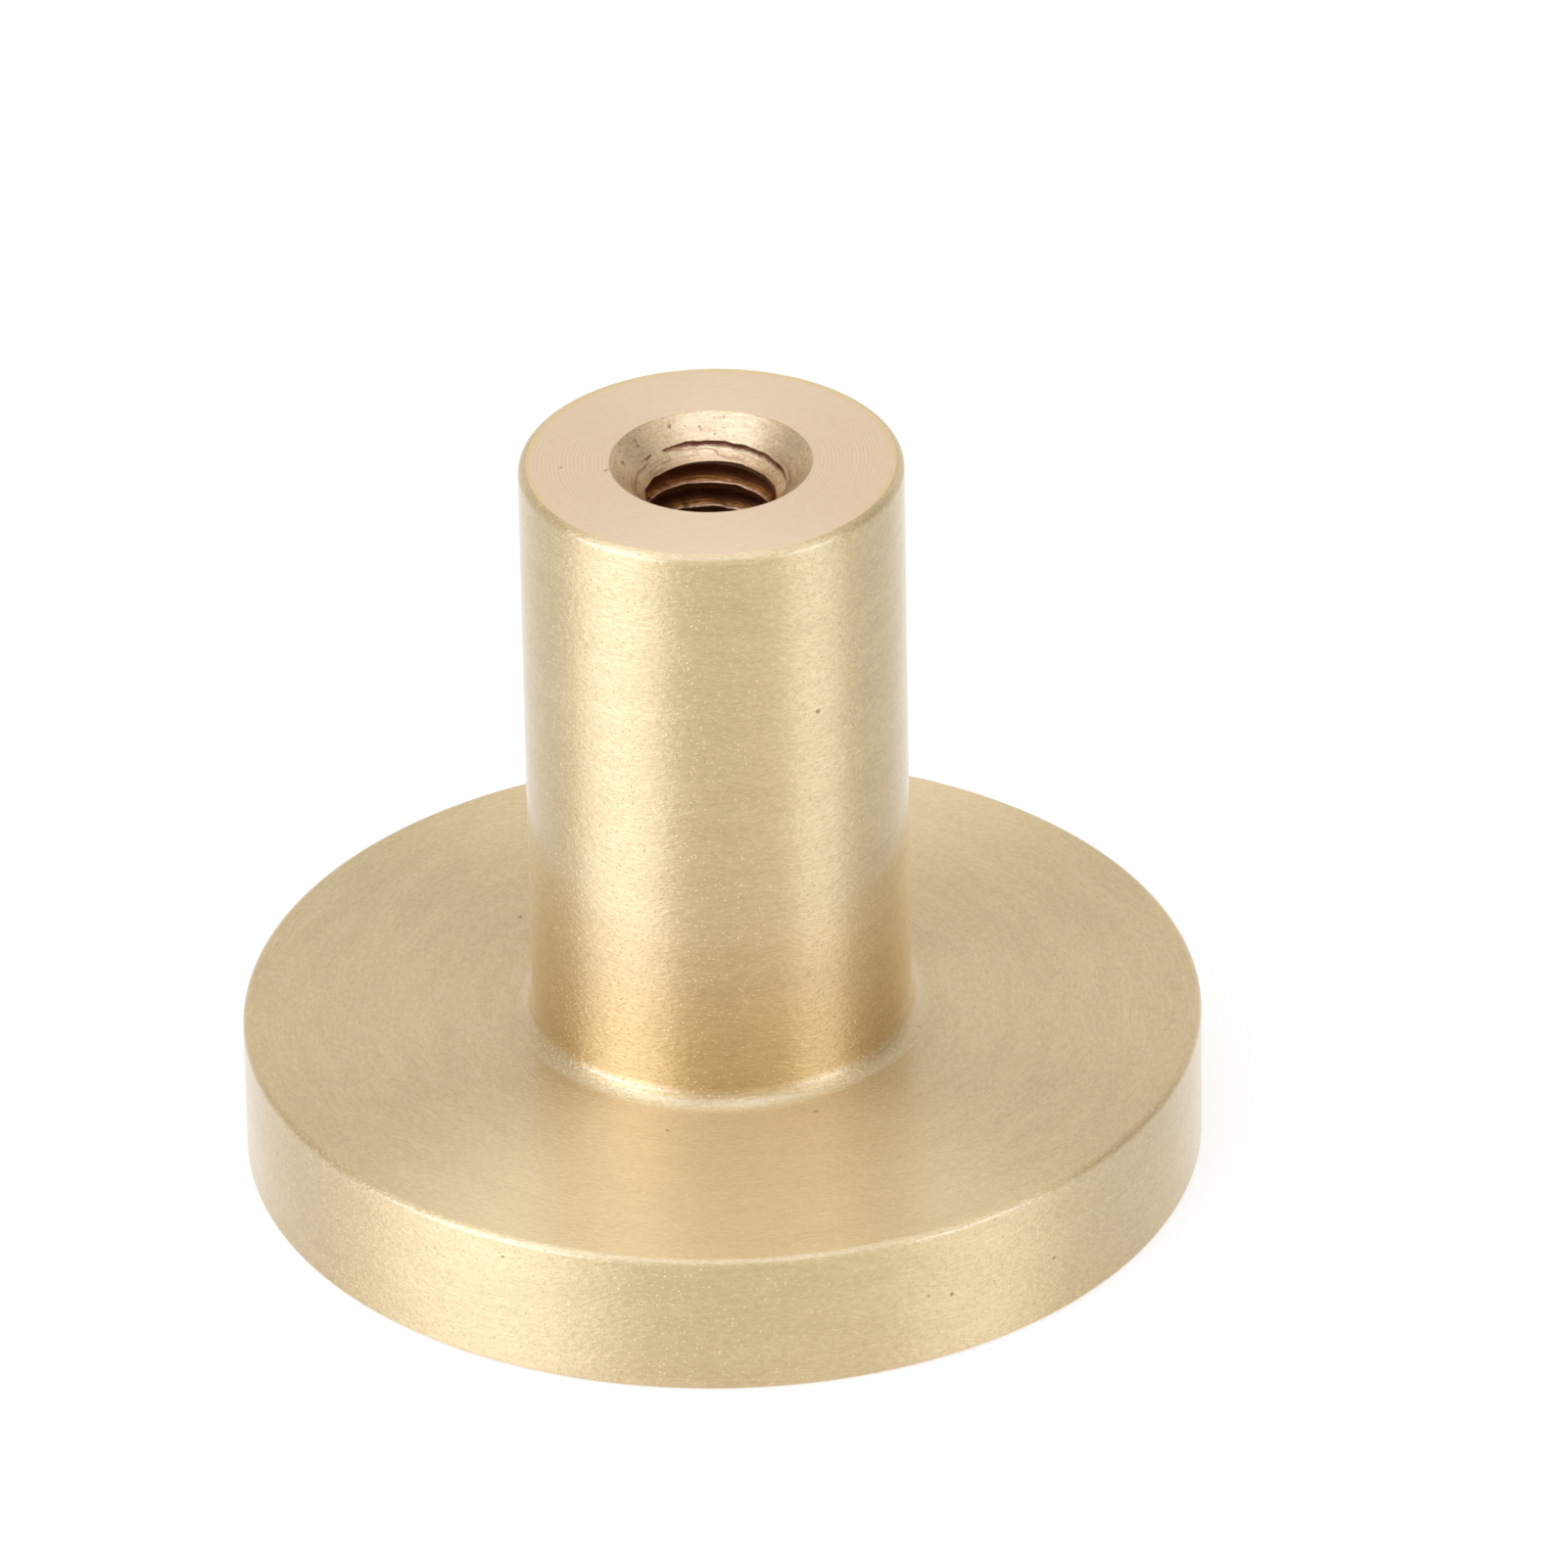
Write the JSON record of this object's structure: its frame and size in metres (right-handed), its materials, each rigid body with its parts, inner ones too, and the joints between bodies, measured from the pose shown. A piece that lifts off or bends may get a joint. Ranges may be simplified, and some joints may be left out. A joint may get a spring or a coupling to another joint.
{
  "type": "cabinet knob",
  "caption": "Turned brass cabinet knob: flat round head on a plain cylindrical stem, with a countersunk tapped hole in the stem's end.",
  "frame": {"origin": "centre of the head's flat front face, on which the loose knob stands", "axes": "+Z along the turning axis, from the front face to the stem's seating face; X and Y are free, because the knob is round"},
  "size_m": [0.025, 0.025, 0.0202],
  "materials": {
    "satin_brass": "bare brass, turned and brushed round its axis to a satin, with a faced seating end"
  },
  "bodies": {
    "root": {"knob": "satin_brass"}
  },
  "joints": []
}
